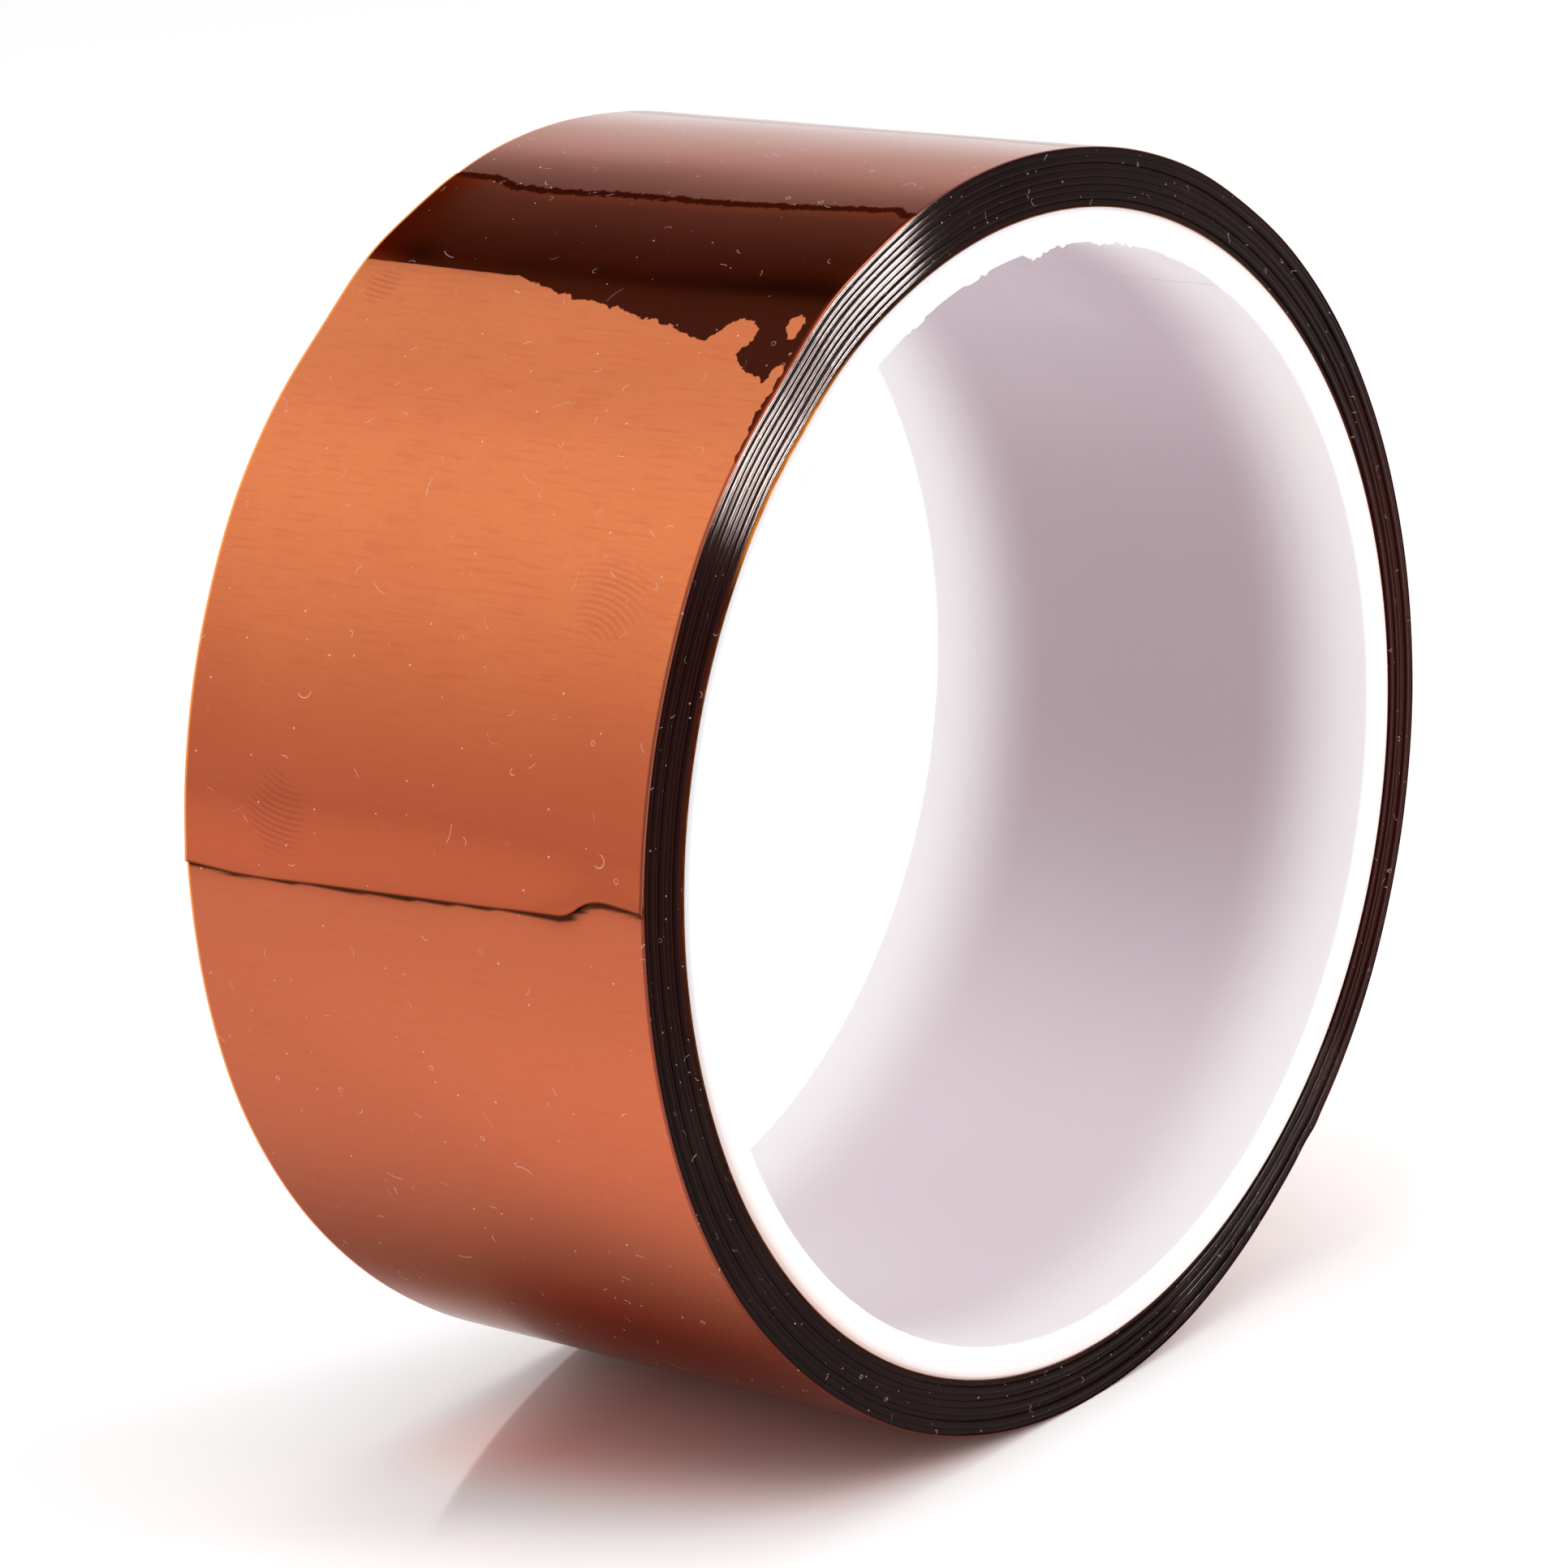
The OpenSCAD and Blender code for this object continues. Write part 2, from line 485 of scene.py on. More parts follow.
def dark_band_colour(n, to_back):
    """Colour of the painted dark reflection below the crease: lighter at the crease, darkest at its front, red at
    the back.
    """
    from_crease = n.attribute("from_crease")
    colour = n.mix(n.step(from_crease, 8.5, 0.5), DARK_BAND_MIDDLE, DARK_BAND_AT_CREASE)
    colour = n.mix(n.step(from_crease, 7.2, 9.6), colour, DARK_BAND_FAR)
    return n.mix(n.step(to_back, 4.5, 0.5, 0, 0.8), colour, DARK_BAND_AT_BACK)


def film_dust(n, place):
    """Short curled fibres, a few long ones and specks."""
    long_fibres = n.lint(n.vector("ADD", place, (40.0, 17.0, 0.0)), 8.5, 0.75, 0.035, 0.42)
    dust = n.math("MAXIMUM", n.lint(place, 3.0, 0.36, 0.030, 0.34), long_fibres)
    return n.math("MAXIMUM", dust, n.specks(place, 2.6, 0.075, 0.45))


def film_material():
    """Glossy amber film. Where it lies on air it mirrors like copper, and below the crease a painted
    reflection of the dark studio turns it dark brown. The meshes say where it is stuck down, with the
    painted shade low on its left, and how far a point is outside the dark reflection, in mm."""
    n = Nodes("amber_film")
    place = n.attribute("unrolled", "Vector")
    along = n.node("SeparateXYZ", {0: place}).outputs[1]
    to_back = n.math("SUBTRACT", TAPE_HALF, along)
    to_front = n.math("ADD", TAPE_HALF, along)
    streaks = n.noise(n.scaled(place, 3.0, 0.25), 1.0, 3, 0.6)
    fine_streaks = n.noise(n.scaled(place, 9.0, 0.5), 1.0, 2, 0.6)
    smudges = n.noise(place, 0.25, 4, 0.65, 0.8)
    marks = finger_marks(n, place)
    dust = film_dust(n, place)
    wet = dark_band_mask(n, place, along)
    crack = crease_crack(n, place)
    cut = n.attribute("cut_line")
    bond = n.attribute("bond")
    low = n.attribute("low")
    wound = n.attribute("wound")

    colour = open_film_colour(n, place, streaks, marks, wound)
    # Bonded film, and painted shade low on its left where it mirrors the floor in the roll's shadow
    colour = n.mix(bond, colour, n.mix(wound, BONDED, n.mix(low, BONDED, LOW_PAINTED_SHADE)))
    # Painted reflection: dark brown below the crease, where the film mirrors the dark studio
    colour = n.mix(wet, colour, dark_band_colour(n, to_back))
    # Painted shadow of the loose end's cut on the roll, and a dark rim along the loose end's own cut
    colour = n.mix(n.step(cut, 0.0, 1.0, 0, 0.97), colour, CUT_SHADE)
    colour = n.mix(crack, colour, CRACK)
    # Painted glow: light shining through the film's back edge
    back_edge_glow_mask = n.step(to_back, 0.26, 0.10)
    colour = n.mix(back_edge_glow_mask, colour, BACK_EDGE_GLOW)
    colour = n.mix(n.step(to_front, 0.30, 0.12, 0, 0.85), colour, FRONT_EDGE)
    colour = n.mix(n.mul(dust, n.step(wet, 0.0, 1.0, 0.50, 0.28)), colour, DUST)

    plain = n.math("MAXIMUM", dust, n.mul(back_edge_glow_mask, 0.8))
    roughness = n.add(n.step(smudges, 0.35, 0.8, 0.15, 0.19), n.mul(dust, 0.4))
    roughness = n.add(roughness, n.mul(marks, 0.06))
    height = n.add(n.mul(fine_streaks, 0.35), n.mul(streaks, 0.65))
    normal = n.bump(dust, 0.5, 0.00003, n.bump(height, 0.09, 0.00002))
    shine = n.mix(bond, (0.45, 0.45, 0.45), (0.65, 0.65, 0.65))
    shine = n.mix(low, shine, (0.07, 0.07, 0.07))
    dull = n.math("MAXIMUM", wet, n.math("MAXIMUM", crack, cut))
    shine = n.mix(dull, shine, (0.04, 0.04, 0.04))
    n.set(Base_Color=colour, Metallic=n.math("SUBTRACT", 1.0, plain, clamp=True),
          Roughness=roughness, Coat_Weight=shine, Normal=normal)
    n.set(IOR=1.6, Specular_Tint=(0.75, 0.45, 0.38), Coat_Roughness=0.03, Coat_IOR=1.5)
    return n.material


def edge_material():
    """The slit edges of the wound film: dark, glossy and finely ridged, with dust caught on them."""
    n = Nodes("wound_edges")
    _, flat, _ = n.round_place()
    depth = n.attribute("depth")
    turns = n.math("SINE", n.mul(depth, math.tau / TURN_T))
    grain = n.noise(flat, 11.0, 2, 0.6)
    patches = n.noise(flat, 0.12, 3, 0.6)

    # The pack lets a little red light through on its left, more on its right, most by the core
    left_glow = n.facing_way(flat, 162, 24)
    right_glow = n.facing_way(flat, -8, 34)
    both_sides = n.add(n.mul(n.add(left_glow, right_glow), 0.45), 0.05)
    near_core = n.mul(n.step(depth, 0.75, 0.05), both_sides)
    # Painted glow: orange light through the pack by the core, on its upper left
    orange = n.mul(n.step(depth, 0.34, 0.14), n.facing_way(flat, 134, 10))
    colour = n.mix(n.step(patches, 0.4, 0.7), EDGE_DARK, EDGE_PATCH)
    colour = n.mix(n.mul(left_glow, 0.90), colour, EDGE_LEFT)
    colour = n.mix(n.mul(right_glow, 0.90), colour, EDGE_RIGHT)
    colour = n.mix(near_core, colour, EDGE_NEAR_CORE)
    colour = n.mix(n.step(turns, 0.3, 1.0, 0, 0.15), colour, EDGE_TURN_LINE)
    colour = n.mix(n.mul(orange, 0.85), colour, EDGE_ORANGE)

    dust = n.math("MAXIMUM", n.lint(flat, 2.4, 0.32, 0.032, 0.50), n.specks(flat, 1.2, 0.07, 0.40))
    colour = n.mix(n.mul(dust, 0.55), colour, DUST_ON_EDGES)
    height = n.add(n.mul(turns, 0.35), n.mul(grain, 0.3))
    n.set(Base_Color=colour, Roughness=n.step(grain, 0.3, 0.7, 0.07, 0.14),
          Normal=n.bump(height, 0.12, 0.00002))
    n.set(IOR=1.5, Specular_IOR_Level=0.035, Specular_Tint=(1.0, 0.80, 0.76))
    return n.material


def core_material():
    """Milky plastic. The bore's wall is darker inside, partly the dark pack showing through and partly painted
    shade, with painted light at its ends and low down and painted shade on its right.
    """
    n = Nodes("milky_plastic")
    place, flat, radius = n.round_place()
    along = n.node("SeparateXYZ", {0: place}).outputs[1]
    to_end = n.math("SUBTRACT", CORE_HALF, n.math("ABSOLUTE", along))
    clouds = n.noise(place, 0.05, 2, 0.5)
    specks = n.specks(flat, 2.4, 0.10, 0.15)
    flow = n.noise(n.scaled(place, 0.2, 1.2, 0.2), 1.0, 2, 0.5)

    milky = n.mix(n.step(clouds, 0.35, 0.65), WALL, WALL_CLOUD)
    # Painted shade on the bore's wall on its right, the +X side
    milky = n.mix(n.facing_way(flat, -8, 42), milky, WALL_SHADED_RIGHT)
    # Painted light on the bore's lower side, where light from above falls
    milky = n.mix(n.facing_way(flat, -100, 70), milky, WALL_LIT_LOW)
    # Painted light: the wall turns white towards the ends of the bore, where light comes in
    wall = n.mix(n.step(to_end, 1.0, 11.0), WALL_LIT_AT_END, milky)
    rim = n.mix(n.step(radius, CORE_R - 0.75, CORE_R - 0.05), RIM, RIM_BY_TAPE)
    rim = n.mix(n.facing_way(flat, 135, 70), rim, RIM_UPPER_LEFT)
    # Painted highlight on the chamfer at the mouth of the bore
    rim = n.mix(n.step(radius, BORE_R + 0.80, BORE_R + 0.70), rim, RIM_CHAMFER_HIGHLIGHT)
    colour = n.mix(n.step(radius, BORE_R + 0.15, BORE_R + 0.02), rim, wall)
    colour = n.mix(n.mul(specks, 0.4), colour, CORE_SPECK)
    height = n.add(n.mul(flow, 0.6), n.noise(place, 2.5, 3, 0.6))
    n.set(Base_Color=colour, Roughness=n.step(flow, 0.3, 0.7, 0.34, 0.44),
          Normal=n.bump(height, 0.12, 0.00003))
    n.set(IOR=1.49, Subsurface_Weight=0.25, Subsurface_Radius=(1.0, 0.9, 0.95),
          Subsurface_Scale=0.0015)
    return n.material


def bond_line_material():
    """The adhesive of the innermost turn, dull but for a painted orange glow on its upper left, where light shines
    through it beside the white core.
    """
    n = Nodes("bond_line")
    place, flat, _ = n.round_place()
    blotch = n.noise(place, 0.9, 3, 0.6)
    blotched = n.step(blotch, 0.35, 0.65)
    glow = n.math("MAXIMUM", n.facing_way(flat, 132, 11), n.mul(n.facing_way(flat, 160, 26), 0.08))
    dull = n.mix(blotched, BOND_DULL, BOND_DULL_BLOTCH)
    bright = n.mix(blotched, BOND_BRIGHT, BOND_BRIGHT_BLOTCH)
    n.set(Base_Color=n.mix(glow, dull, bright), Roughness=n.step(blotch, 0.3, 0.7, 0.3, 0.5),
          Normal=n.bump(blotch, 0.2, 0.00003))
    n.set(IOR=1.41, Specular_IOR_Level=0.06)
    return n.material


def adhesive_material():
    """The tacky underside of the loose end: clear silicone adhesive over amber film."""
    n = Nodes("clear_adhesive")
    place = n.attribute("unrolled", "Vector")
    legs = n.noise(n.scaled(place, 0.9, 0.6), 1.0, 4, 0.6, 1.2)
    haze = n.noise(place, 0.35, 3, 0.6)
    colour = n.mix(n.step(legs, 0.35, 0.7), ADHESIVE, ADHESIVE_LEGS)
    colour = n.mix(n.step(haze, 0.45, 0.75, 0, 0.3), colour, ADHESIVE_HAZE)
    n.set(Base_Color=colour, Metallic=0.35, Roughness=n.step(legs, 0.3, 0.7, 0.22, 0.42),
          Normal=n.bump(n.add(legs, n.mul(haze, 0.5)), 0.3, 0.00006))
    n.set(IOR=1.41, Coat_Weight=0.5, Coat_Roughness=0.12, Coat_IOR=1.41)
    return n.material


# ---------------------------------------------------------------- core
def rounded_corner(corner, before, after, radius, steps=4):
    """Points of a small round in place of a corner of an outline."""
    corner, before, after = (np.array(p, float) for p in (corner, before, after))
    a = corner + (before - corner) / np.linalg.norm(before - corner) * radius
    b = corner + (after - corner) / np.linalg.norm(after - corner) * radius
    t = np.linspace(0, 1, steps + 1)[:, None]
    return (1 - t) ** 2 * a + 2 * t * (1 - t) * corner + t ** 2 * b


def core_outline():
    """Cross-section of the core as radius and place along the axis, from the bore's middle."""
    chamfer, lip = 0.75, 0.25
    wall_steps, outer_steps, face_steps = 26, 10, 5
    front = [(BORE_R, -BORE_HALF), (BORE_R + chamfer, -CORE_HALF),
             (CORE_R - lip, -CORE_HALF), (CORE_R, -CORE_HALF + lip)]
    back = [(r, -y) for r, y in reversed(front)]
    corners = front + back
    radii = [0.12, 0.10, 0.08, 0.08, 0.08, 0.08, 0.10, 0.12]
    before_face, before_outside = (1, 5), 3
    points = []
    for i, (corner, radius) in enumerate(zip(corners, radii)):
        points.append(rounded_corner(corner, corners[i - 1], corners[(i + 1) % 8], radius))
        if i == before_outside:
            y = np.linspace(-CORE_HALF + 1, CORE_HALF - 1, outer_steps)
            points.append(np.stack([np.full_like(y, CORE_R), y], -1))
        if i in before_face:
            a, b = corners[i], corners[i + 1]
            t = np.linspace(0.15, 0.85, face_steps)[:, None]
            points.append(np.array(a) * (1 - t) + np.array(b) * t)
    y = np.linspace(BORE_HALF - 0.5, -BORE_HALF + 0.5, wall_steps)
    points.append(np.stack([np.full_like(y, BORE_R), y], -1))
    return np.concatenate(points)


def burrs(theta, rng):
    """Flash left along the mouth of the bore, thickest at the top: how far it stands in, in mm."""
    at_top, anywhere = 26, 14
    out = np.zeros_like(theta)
    for _ in range(at_top):
        centre = rng.normal(88, 17)
        half = rng.uniform(0.35, 1.1)
        out += rng.uniform(0.04, 0.22) * (np.abs(theta - centre) < half) * smoothstep(
            (half - np.abs(theta - centre)) / 0.35)
    for _ in range(anywhere):
        centre, half = rng.uniform(-90, 270), rng.uniform(0.5, 2.0)
        out += rng.uniform(0.01, 0.05) * smoothstep(1 - np.abs(theta - centre) / half)
    return out


def add_core():
    """The plastic tube, with flash at the mouths of its bore."""
    rng = np.random.default_rng(RNG_SEED)
    outline = core_outline()
    theta = ring_angles(FINE_RING_STEPS)
    r = np.tile(outline[:, 0], (len(theta), 1))
    y = np.tile(outline[:, 1], (len(theta), 1))
    r = r + core_swell(theta)[:, None] * smoothstep((r - BORE_R - 0.8) / (CORE_R - BORE_R - 1.0))
    for side in (-1, 1):
        at_mouth = (np.abs(outline[:, 1] - side * BORE_HALF) < 0.14) & (outline[:, 0] < BORE_R + 0.12)
        r[:, at_mouth] -= burrs(theta, rng)[:, None]
    piece = make_mesh("core_tube", to_xyz(theta[:, None], r, y),
                      grid_faces(len(theta), len(outline), True))
    finish_piece(outward(piece), core_material(), "roll", "core_plastic", "core")


# ---------------------------------------------------------------- the wound pack
def wander(theta, rng, size):
    """A slow sideways drift around the roll, in mm."""
    out = np.zeros_like(theta)
    for waves in (1, 2, 3, 5, 9):
        out += size / waves * np.cos(np.radians(waves * theta) + rng.uniform(0, math.tau))
    return out


# Outline of a band's end face over its width: share of the width, height in mm
FACE_LINE = [(-0.02, -0.02), (0.00, 0.00), (0.07, 0.10), (0.14, 0.12), (0.43, 0.125), (0.48, 0.118),
             (0.59, 0.080), (0.69, 0.080), (0.90, 0.006), (0.97, -0.03), (1.00, -0.02), (1.02, 0.00)]


def face_height(t):
    """Height of a band's end face over its width: one ridge that slopes away from the core."""
    line = np.array(FACE_LINE)
    return sum(np.interp(t + d, line[:, 0], line[:, 1]) for d in (-0.01, 0, 0.01)) / 3


def add_band(name, r_in, material, rng):
    """One band of turns, with its ridged end faces. The ridges are high on the upper left only."""
    ridge_base, across = 0.10, 34
    r_out = outer_radius(name)
    low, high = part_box(name)
    shift = (low.y + high.y) / 2 / MM
    theta = ring_angles(RING_STEPS)
    t = np.linspace(0, 1, across)
    upper_left = bump_at(theta[:, None], 122, 34)
    depth = face_height(t) * (0.45 + 0.55 * upper_left) + 0.05 * (1 - upper_left)
    drift = wander(theta, rng, 0.012)[:, None]
    r_line = r_in + (r_out - r_in) * t
    front = -TAPE_HALF + shift + (ridge_base - depth) + drift
    back = TAPE_HALF + shift - (ridge_base - depth) + drift
    r = np.tile(np.concatenate([r_line, r_line[::-1]]), (len(theta), 1))
    y = np.concatenate([np.broadcast_to(front, (len(theta), len(t))),
                        np.broadcast_to(back[:, ::-1], (len(theta), len(t)))], 1)
    points = to_xyz(theta[:, None], off_round(theta[:, None], r), y)
    faces = grid_faces(len(theta), 2 * len(t), True)
    piece = outward(make_mesh(name + "_wound", points, faces, sharp=24))
    store(piece, "depth", (r - CORE_R).ravel())
    finish_piece(piece, material, "roll", "tape_edge", name)


def add_first_turn(material):
    """The innermost turn, whose adhesive oozes out a few hundredths of a millimetre."""
    theta = ring_angles(RING_STEPS)
    proud = 0.05
    outline = np.array([(CORE_R, -TAPE_HALF - proud), (FIRST_R, -TAPE_HALF - proud),
                        (FIRST_R, TAPE_HALF + proud), (CORE_R, TAPE_HALF + proud)])
    r, y = np.tile(outline[:, 0], (len(theta), 1)), np.tile(outline[:, 1], (len(theta), 1))
    ooze = 0.04 * np.sin(np.radians(theta * 7)) * np.sin(np.radians(theta * 3 + 40))
    y = y + np.sign(y) * np.abs(ooze)[:, None]
    points = to_xyz(theta[:, None], off_round(theta[:, None], r), y)
    piece = outward(make_mesh("first_turn_wound", points, grid_faces(len(theta), 4, True)))
    finish_piece(piece, material, "roll", "adhesive", "first_turn")


# Line of the crease and line of the torn cut: place along the axis, angle around the roll
CREASE = [(-20, 106.4), (-19.2, 106.4), (-18.4, 105.7), (-14, 106.3), (-10, 106.7), (-5, 107.1),
          (5, 107.2), (9, 107.6), (14, 107.5), (15.5, 106.4), (20, 106.1)]
CUT = [(-20, 174.0), (-17, 173.6), (-16, 173.7), (-15.1, 174.1), (-14.4, 174.8), (-13.6, 175.3),
       (-6.7, 175.8), (0.4, 176.2), (7.6, 176.6), (12.7, 176.95), (15.5, 177.0), (20, 176.75)]
# The painted dark reflection, from the crease down to its ragged front
DARK_BAND_EDGE = [(22, 119.6), (6, 119.8), (4.3, 120.4), (2.2, 121.0), (0.2, 121.7), (-2.5, 121.9),
             (-5.5, 122.6), (-6.4, 122.9), (-8.7, 123.5), (-10.4, 124.1), (-12.2, 124.8),
             (-12.9, 123.2), (-13.6, 122.4), (-14.8, 122.0), (-15.9, 122.6), (-15.9, 124.0),
             (-15.2, 125.7), (-16.4, 127.0), (-18.4, 128.0), (-19.2, 126.2), (-19.4, 125.0),
             (-19.6, 128.0), (-19.7, 136.0), (-22, 138.0)]
DARK_BAND_HOLE = [(-17.9, 121.6), (-18.7, 121.0), (-19.3, 121.6), (-19.0, 123.4), (-18.3, 123.8)]


def line_at(line, y):
    """Angle of a line at each place along the axis, with its corners eased."""
    line = np.array(line)
    return sum(np.interp(y + d, line[:, 0], line[:, 1]) for d in (-0.3, -0.1, 0.1, 0.3)) / 4


def outside(s, y, outline):
    """Signed distance in mm from each point to a closed outline, negative inside it."""
    p = np.stack([s, y], -1)
    corners = np.array([(a * MM_PER_DEG, b) for b, a in outline])
    best, inside = np.full(s.shape, 1e9), np.zeros(s.shape, bool)
    for a, b in zip(corners, np.roll(corners, -1, 0)):
        d = b - a
        t = np.clip(((p - a) @ d) / (d @ d), 0, 1)
        best = np.minimum(best, np.linalg.norm(p - a - t[..., None] * d, axis=-1))
        crosses = (a[1] > y) != (b[1] > y)
        at = a[0] + (y - a[1]) / (b[1] - a[1] if b[1] != a[1] else 1) * d[0]
        inside ^= crosses & (s < at)
    return np.where(inside, -best, best)


def ripple(theta, y):
    """Shallow waves that the wound film keeps, in mm."""
    s = theta * MM_PER_DEG
    return (0.010 * np.sin(s / 3.1 + y / 9) + 0.008 * np.sin(s / 1.7 - y / 6 + 1)
            + 0.006 * np.sin(y / 2.3 + s / 15))


def film_section(y_steps, r_low, r_high, half):
    """Cross-section of a sheet: out along its outer face and back along its inner one."""
    thick = r_high - r_low
    y = np.linspace(-1, 1, y_steps - 2) * (half - 0.32 * thick)
    y = np.concatenate([[-half], y, [half]])
    top = np.stack([np.full_like(y, r_high), y], -1)
    low = np.stack([np.full_like(y, r_low), y[::-1]], -1)
    top[[0, -1], 0] -= 0.45 * thick
    return np.concatenate([top, low])


def cut_shade(past, y):
    """How dark the painted shadow is on the roll just past the cut, where the loose end's edge casts it."""
    corner = np.exp(-((y + 13.2) / 2.0) ** 2)
    along = 0.8 + 0.2 * np.sin(y / 3.1 + 1) + 0.6 * corner
    line = smoothstep((0.24 * along + 0.08 - past) / 0.10)
    soft = 0.55 * along * np.exp(-np.maximum(past, 0) / 0.7)
    return np.where(past > -0.4, np.clip(line + soft, 0, 1), 0)


def add_outer_turn(material):
    """The last whole turn. It bears the glossy surface all round, and runs under the loose end."""
    theta = ring_angles(FINE_RING_STEPS)
    columns, outside_dark_band, far_from_crease = 49, 9.0, 20.0
    outline = film_section(columns, PACK_R, OUTER_R, TAPE_HALF)
    r, y = np.tile(outline[:, 0], (len(theta), 1)), np.tile(outline[:, 1], (len(theta), 1))
    angle = np.broadcast_to(theta[:, None], r.shape)
    points = to_xyz(angle, off_round(angle, r) + ripple(angle, y), y)
    faces = grid_faces(len(theta), len(outline), True)
    piece = outward(make_mesh("outer_turn_wound", points, faces, sharp=30))
    crease = line_at(CREASE, y)
    # The film is bonded up to the crease. Low on its left it carries painted shade, where it mirrors the floor in
    # the roll's shadow
    low = smoothstep((angle - 196) / 30) * smoothstep((270.2 - angle) / 0.1)
    bonded_and_low_shade = smoothstep((crease + 2 - angle) / 3) + low
    surface = np.stack([angle * MM_PER_DEG, y, 0 * y], -1).reshape(-1, 3)
    store(piece, "unrolled", surface)
    store(piece, "bond", np.clip(bonded_and_low_shade, 0, 1).ravel())
    store(piece, "wound", np.ones(angle.size))
    store(piece, "low", low.ravel())
    # The outer turn lies wholly outside the painted dark reflection
    store(piece, "wet", np.full(angle.size, outside_dark_band))
    store(piece, "from_crease", np.full(angle.size, far_from_crease))
    store(piece, "crease_line", ((angle - crease) * MM_PER_DEG).ravel())
    store(piece, "cut_line", cut_shade((angle - line_at(CUT, y)) * MM_PER_DEG, y).ravel())
    finish_piece(piece, material, "roll", "film", "outer_turn")


def end_lift(to_cut, y):
    """How far the loose end stands off the roll: it curls up at the cut, most at the torn corner."""
    corner = np.exp(-((y + 13.6) / 2.2) ** 2)
    return 0.13 * np.exp(-to_cut / 1.1) + 0.10 * corner * np.exp(-to_cut / 1.6)


def add_end_layer(name, low, high, material, slot, node):
    """A layer of the loose end, from the crease to the cut, between two heights over the roll."""
    rows, columns = 300, 81
    outline = film_section(columns, low, high, TAPE_HALF)
    y = np.tile(outline[:, 1], (rows, 1))
    start, stop = line_at(CREASE, y), line_at(CUT, y)
    share = np.linspace(0, 1, rows)[:, None]
    # The rows lie a little closer together in the middle
    share = share + 0.08 * np.sin(math.tau * share) / math.tau
    angle = start + (stop - start) * share
    from_crease = (angle - start) * MM_PER_DEG
    to_cut = (stop - angle) * MM_PER_DEG
    gap = (END_R - OUTER_R) * smoothstep(from_crease / 1.5) + end_lift(to_cut, y)
    r = off_round(angle, OUTER_R + 0 * y) + gap + outline[None, :, 0] + ripple(angle, y)
    points = to_xyz(angle, r, y)
    count = 2 * columns
    faces = np.concatenate([grid_faces(rows, count, False), cap_faces(count, 0, False),
                            cap_faces(count, (rows - 1) * count, True)])
    piece = outward(make_mesh(name, points, faces, sharp=30))
    s = angle * MM_PER_DEG
    # How far each point lies outside the painted dark reflection, in mm
    patch = [(22, 100.0), *DARK_BAND_EDGE, (-22, 100.0)]
    wet = np.maximum(outside(s, y, patch), -outside(s, y, DARK_BAND_HOLE))
    store(piece, "unrolled", np.stack([s, y, 0 * y], -1).reshape(-1, 3))
    store(piece, "bond", np.zeros(y.size))
    store(piece, "wet", wet.ravel())
    store(piece, "from_crease", from_crease.ravel())
    store(piece, "crease_line", from_crease.ravel())
    store(piece, "cut_line", (0.9 * smoothstep((0.09 - to_cut) / 0.05)).ravel())
    finish_piece(piece, material, None, slot, node)
    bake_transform(piece)


def add_tape():
    """The wound tape from the inside out, and then its loose end."""
    rng = np.random.default_rng(RNG_SEED + 1)
    edge = edge_material()
    inner = FIRST_R
    for name in BANDS:
        add_band(name, inner, edge, rng)
        inner = outer_radius(name)
    add_first_turn(bond_line_material())
    film = film_material()
    add_outer_turn(film)
    adhesive, glue_t = adhesive_material(), TURN_T - FILM_T
    add_end_layer("loose_end_film", glue_t, TURN_T, film, "film", "tape_end_film")
    add_end_layer("loose_end_adhesive", 0, glue_t, adhesive, "adhesive", "tape_end_adhesive")


# ---------------------------------------------------------------- studio
def floor_material():
    """White acrylic: it mirrors at a low angle beside the roll. Painted amber light falls under it, and painted
    light lifts the roll's shade on the floor around it.
    """
    n = Nodes("white_acrylic")
    place = n.node("TexCoord").outputs["Object"]
    parts = n.node("SeparateXYZ", {0: place})
    x, y = parts.outputs[0], parts.outputs[1]
    behind = (0.770, 0.638, 0.0)
    away = n.vector("DOT_PRODUCT", place, behind)
    close_by = n.step(n.vector("LENGTH", place), 0.16, 0.07)

    # Where amber light falls, beside the roll on its left
    beside = n.mul(n.step(x, -0.002, -0.014), n.step(y, 0.021, 0.007))
    beside = n.mul(beside, n.mul(n.step(x, -0.038, -0.026), n.step(y, -0.022, -0.013)))
    # Where the floor is glossy enough to mirror the roll
    near = n.mul(n.step(away, -0.032, -0.018), n.step(y, -0.0200, -0.0135))
    near = n.mul(n.mul(near, close_by), n.step(y, 0.020, 0.007, 0.40, 1.0))
    # Where the shade is thin: to the right of the roll, in front of it and far to its left
    open_side = n.math("MAXIMUM", n.step(x, 0.012, 0.034), n.step(y, -0.0125, -0.0190))
    open_side = n.math("MAXIMUM", open_side, n.step(away, -0.024, -0.034))

    # Painted light: lighter close by the roll, more where its shade is thin, to lift the roll's shadow
    colour = n.mix(close_by, FLOOR_FAR, FLOOR_LIT_NEAR)
    colour = n.mix(n.mul(close_by, open_side), colour, FLOOR_LIT_OPEN)
    colour = n.mix(n.mul(beside, n.step(away, -0.036, -0.022)), colour, FLOOR_GLOW)
    colour = n.mix(n.mul(beside, n.step(away, -0.028, -0.014)), colour, FLOOR_AMBER)
    facing = n.node("LayerWeight", {"Blend": 0.5}).outputs["Facing"]
    share = n.mul(n.mul(n.math("POWER", facing, 2.0), 0.78), near)
    gloss = n.node("BsdfGlossy", {"Color": FLOOR_GLOSS, "Roughness": 0.08})
    matt = n.node("BsdfDiffuse", {"Color": colour})
    both = n.node("MixShader", {0: share, 1: matt.outputs[0], 2: gloss.outputs[0]})
    n.tree.links.new(both.outputs[0], n.tree.nodes["Material Output"].inputs["Surface"])
    n.tree.nodes.remove(n.shader)
    return n.material


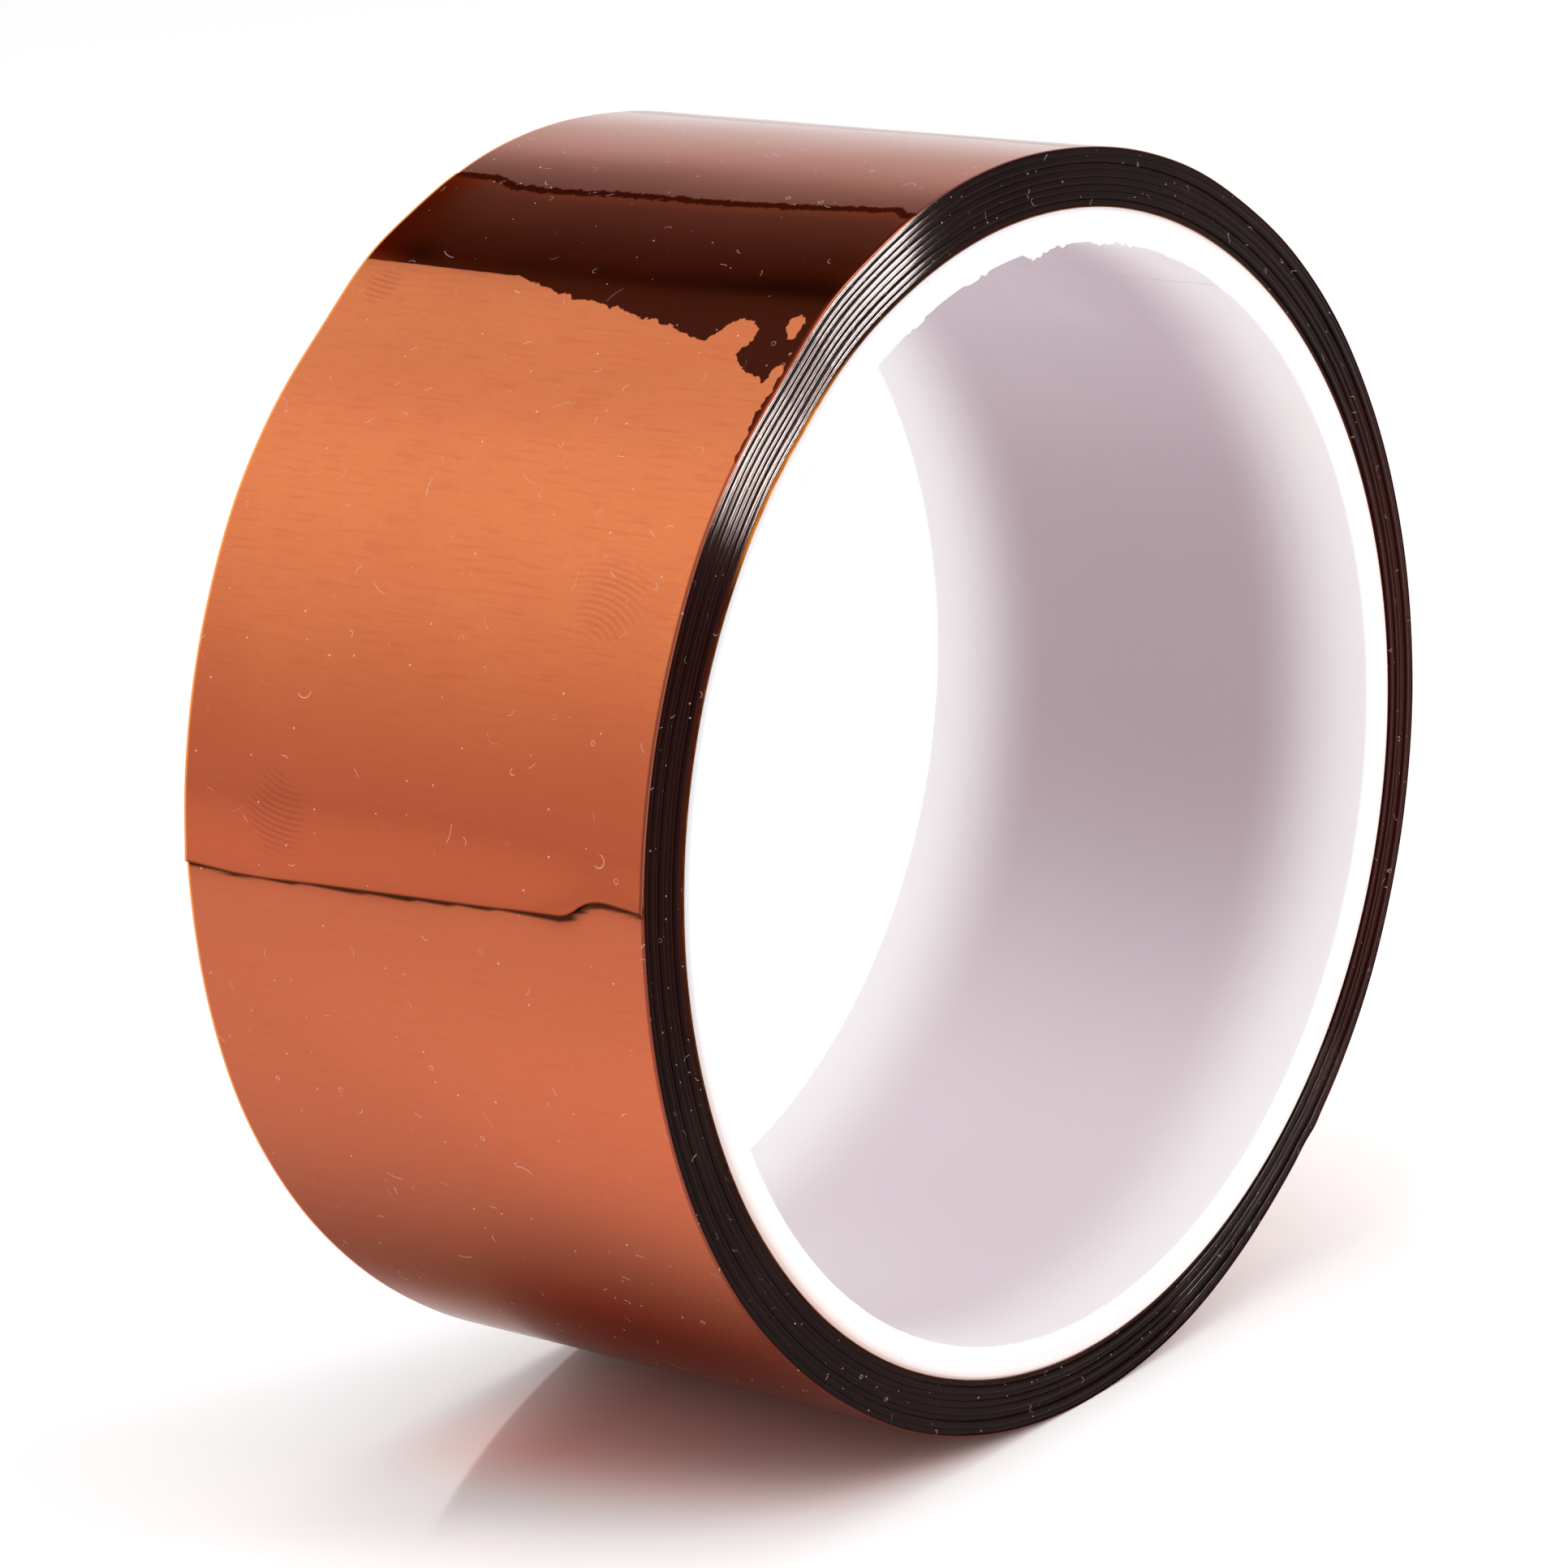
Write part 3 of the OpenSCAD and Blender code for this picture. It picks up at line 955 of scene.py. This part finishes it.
def add_floor(height):
    """A wide flat floor that the roll stands on."""
    size, cells = 3.0, 24
    steps = np.linspace(-size, size, cells + 1)
    x, y = np.meshgrid(steps, steps, indexing="ij")
    points = np.stack([x, y, np.full_like(x, height)], -1)
    i, j = np.meshgrid(np.arange(cells), np.arange(cells), indexing="ij")
    first = (i * (cells + 1) + j).ravel()
    faces = np.stack([first, first + cells + 1, first + cells + 2, first + 1], -1)
    floor = make_mesh("floor", points, faces)
    floor.data.materials.append(floor_material())


def soft_box(name, toward, along, distance, width, height, radiance, mirrored, lights):
    """An even rectangular lamp that faces the roll, as bright as radiance says.

    It lies in the direction "toward" with its width along "along". Glossy surfaces may mirror it,
    and matt ones may be lit by it."""
    data = bpy.data.lights.new(name, "AREA")
    data.shape = "RECTANGLE"
    data.size, data.size_y = width, height
    data.energy = radiance * math.pi * width * height
    lamp = bpy.data.objects.new(name, data)
    z = Vector(toward).normalized()
    y = z.cross(Vector(along)).normalized()
    turn = Matrix((y.cross(z), y, z)).transposed().to_4x4()
    lamp.matrix_world = Matrix.Translation(z * distance) @ turn
    lamp.visible_glossy = mirrored
    lamp.visible_diffuse = lights
    bpy.context.scene.collection.objects.link(lamp)
    return lamp


# Brightness of the studio around the roll's axis: angle from +X over the top, brightness
BACK_GLOW = [(-180, 0.93), (-165, 0.95), (-20, 1.10), (28, 1.10), (33, 1.00), (38, 0.78), (43, 0.60),
             (49, 0.42), (56, 0.31), (64, 0.25), (73, 0.25), (79, 1.02), (86, 1.08), (96, 1.12),
             (110, 1.25), (125, 1.28), (140, 1.18), (157, 1.02), (172, 0.95), (180, 0.93)]
FRONT_GLOW = [(-180, 1.0), (0, 1.0), (15, 0.8), (35, 0.55), (60, 0.55), (120, 0.55), (150, 0.6),
              (170, 0.7), (180, 1.0)]


def add_world():
    """A white studio with a long soft strip over the roll's left and a dark ceiling to its right."""
    world = bpy.data.worlds.new("studio")
    world.use_nodes = True
    bpy.context.scene.world = world
    tree = world.node_tree
    back = tree.nodes["Background"]

    def node(kind, **settings):
        made = tree.nodes.new("ShaderNode" + kind)
        for key, value in settings.items():
            setattr(made, key, value)
        return made

    parts = node("SeparateXYZ")
    tree.links.new(node("TexCoord").outputs["Generated"], parts.inputs[0])
    around = node("Math", operation="ARCTAN2")
    tree.links.new(parts.outputs[2], around.inputs[0])
    tree.links.new(parts.outputs[0], around.inputs[1])
    share = node("MapRange")
    tree.links.new(around.outputs[0], share.inputs[0])
    share.inputs[1].default_value, share.inputs[2].default_value = -math.pi, math.pi
    brightest = 1.5
    ramps = []
    for glow in (FRONT_GLOW, BACK_GLOW):
        ramp = node("ValToRGB")
        stops = ramp.color_ramp.elements
        for _ in range(len(glow) - 2):
            stops.new(0.5)
        for stop, (angle, level) in zip(stops, glow):
            stop.position = (angle + 180) / 360
            stop.color = (level / brightest, level / brightest, level / brightest, 1)
        tree.links.new(share.outputs[0], ramp.inputs[0])
        ramps.append(ramp)
    side = node("MapRange", interpolation_type="SMOOTHSTEP")
    tree.links.new(parts.outputs[1], side.inputs[0])
    side.inputs[1].default_value, side.inputs[2].default_value = -0.15, 0.15
    mix = node("Mix", data_type="RGBA")
    tree.links.new(side.outputs[0], mix.inputs[0])
    tree.links.new(ramps[0].outputs[0], mix.inputs[6])
    tree.links.new(ramps[1].outputs[0], mix.inputs[7])
    tree.links.new(mix.outputs[2], back.inputs["Color"])
    back.inputs["Strength"].default_value = brightest


def add_studio():
    """Floor, world and lamps. The bright strip lights the wound edges only."""
    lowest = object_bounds()[0][2]
    add_floor(lowest)
    add_world()
    toward, along = (0.231, -0.826, 0.515), (0.885, 0.397, 0.244)
    strip = soft_box("key_strip", toward, along, distance=0.80, width=0.526, height=0.10,
                     radiance=860, mirrored=True, lights=False)
    edges = bpy.data.collections.new("edges_lit_by_strip")
    for band in BANDS:
        edges.objects.link(bpy.data.objects[band + "_wound"])
    strip.light_linking.receiver_collection = edges
    soft_box("key_light", toward, along, distance=0.80, width=0.55, height=0.25,
             radiance=5.0, mirrored=True, lights=True)
    soft_box("overhead_fill", (-0.1, -0.2, 1.0), (1, 0, 0), distance=1.2, width=1.6, height=1.6,
             radiance=0.85, mirrored=False, lights=True)


add_core()
add_tape()
add_studio()
bpy.context.scene.view_settings.view_transform = "Standard"
